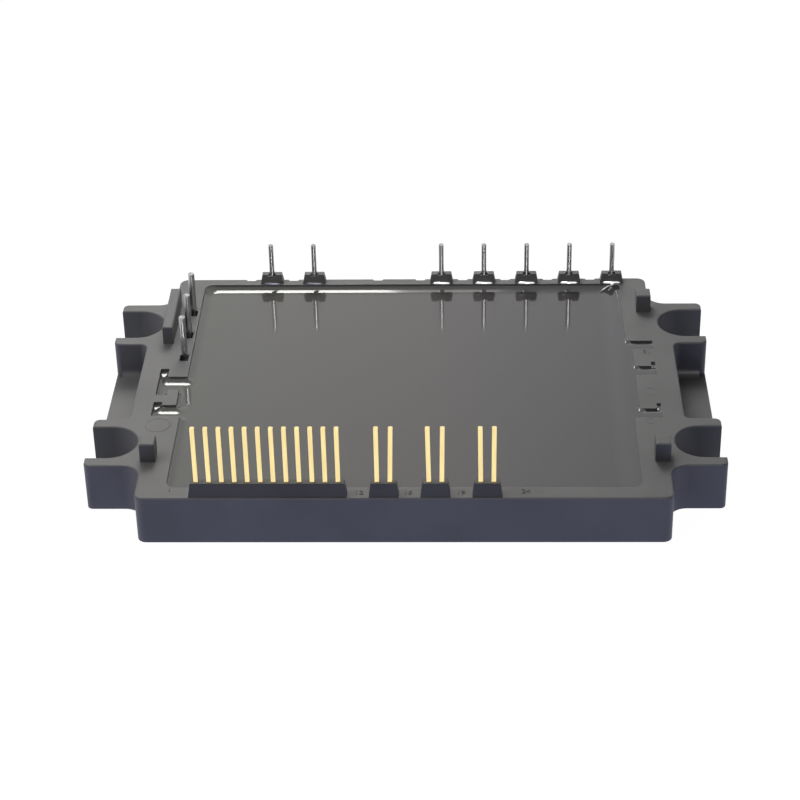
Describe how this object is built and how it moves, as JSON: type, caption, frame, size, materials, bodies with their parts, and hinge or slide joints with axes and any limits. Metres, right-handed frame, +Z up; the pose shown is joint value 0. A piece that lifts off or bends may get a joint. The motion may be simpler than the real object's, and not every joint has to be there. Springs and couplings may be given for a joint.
{
  "type": "igbt module",
  "caption": "Open-frame power switching module: moulded frame with screw notches, cast resin window, gold control pins in front, power pins at the back and left, metal base plate.",
  "frame": {"origin": "centre of the flat underside of the base plate", "axes": "+X along the long side, +Y from the control pins in front to the power pins at the back, +Z up out of the resin face"},
  "size_m": [0.102, 0.07, 0.021],
  "materials": {
    "frame_plastic": "moulded, fine satin",
    "plate_aluminium": "rolled and lightly brushed",
    "ceramic": "fired, matte",
    "copper": "plated copper foil",
    "bond_aluminium": "drawn wire",
    "board": "solder mask",
    "resin": "cured resin, glossy",
    "silicon": "polished die",
    "driver_plastic": "moulded, matte",
    "pin_gold": "gold flash over nickel",
    "pin_tinned": "tinned wire"
  },
  "bodies": {
    "root": {"case_frame": "frame_plastic", "base_plate": "plate_aluminium", "insulating_substrate": "ceramic", "copper_tracks": "copper", "bond_wires": "bond_aluminium", "control_board": "board", "potting_resin": "resin", "igbt_chip_1": "silicon", "igbt_chip_2": "silicon", "igbt_chip_3": "silicon", "igbt_chip_4": "silicon", "igbt_chip_5": "silicon", "igbt_chip_6": "silicon", "diode_chip_1": "silicon", "diode_chip_2": "silicon", "diode_chip_3": "silicon", "diode_chip_4": "silicon", "diode_chip_5": "silicon", "diode_chip_6": "silicon", "driver_chip_1": "driver_plastic", "driver_chip_2": "driver_plastic", "driver_chip_3": "driver_plastic", "driver_chip_4": "driver_plastic", "control_pin_01": "pin_gold", "control_pin_02": "pin_gold", "control_pin_03": "pin_gold", "control_pin_04": "pin_gold", "control_pin_05": "pin_gold", "control_pin_06": "pin_gold", "control_pin_07": "pin_gold", "control_pin_08": "pin_gold", "control_pin_09": "pin_gold", "control_pin_10": "pin_gold", "control_pin_11": "pin_gold", "control_pin_12": "pin_gold", "control_pin_15": "pin_gold", "control_pin_16": "pin_gold", "control_pin_19": "pin_gold", "control_pin_20": "pin_gold", "control_pin_23": "pin_gold", "control_pin_24": "pin_gold", "power_pin_1": "pin_tinned", "power_pin_2": "pin_tinned", "power_pin_5": "pin_tinned", "power_pin_6": "pin_tinned", "power_pin_7": "pin_tinned", "power_pin_8": "pin_tinned", "power_pin_9": "pin_tinned", "side_pin_1": "pin_tinned", "side_pin_2": "pin_tinned", "side_pin_3": "pin_tinned"}
  },
  "joints": []
}
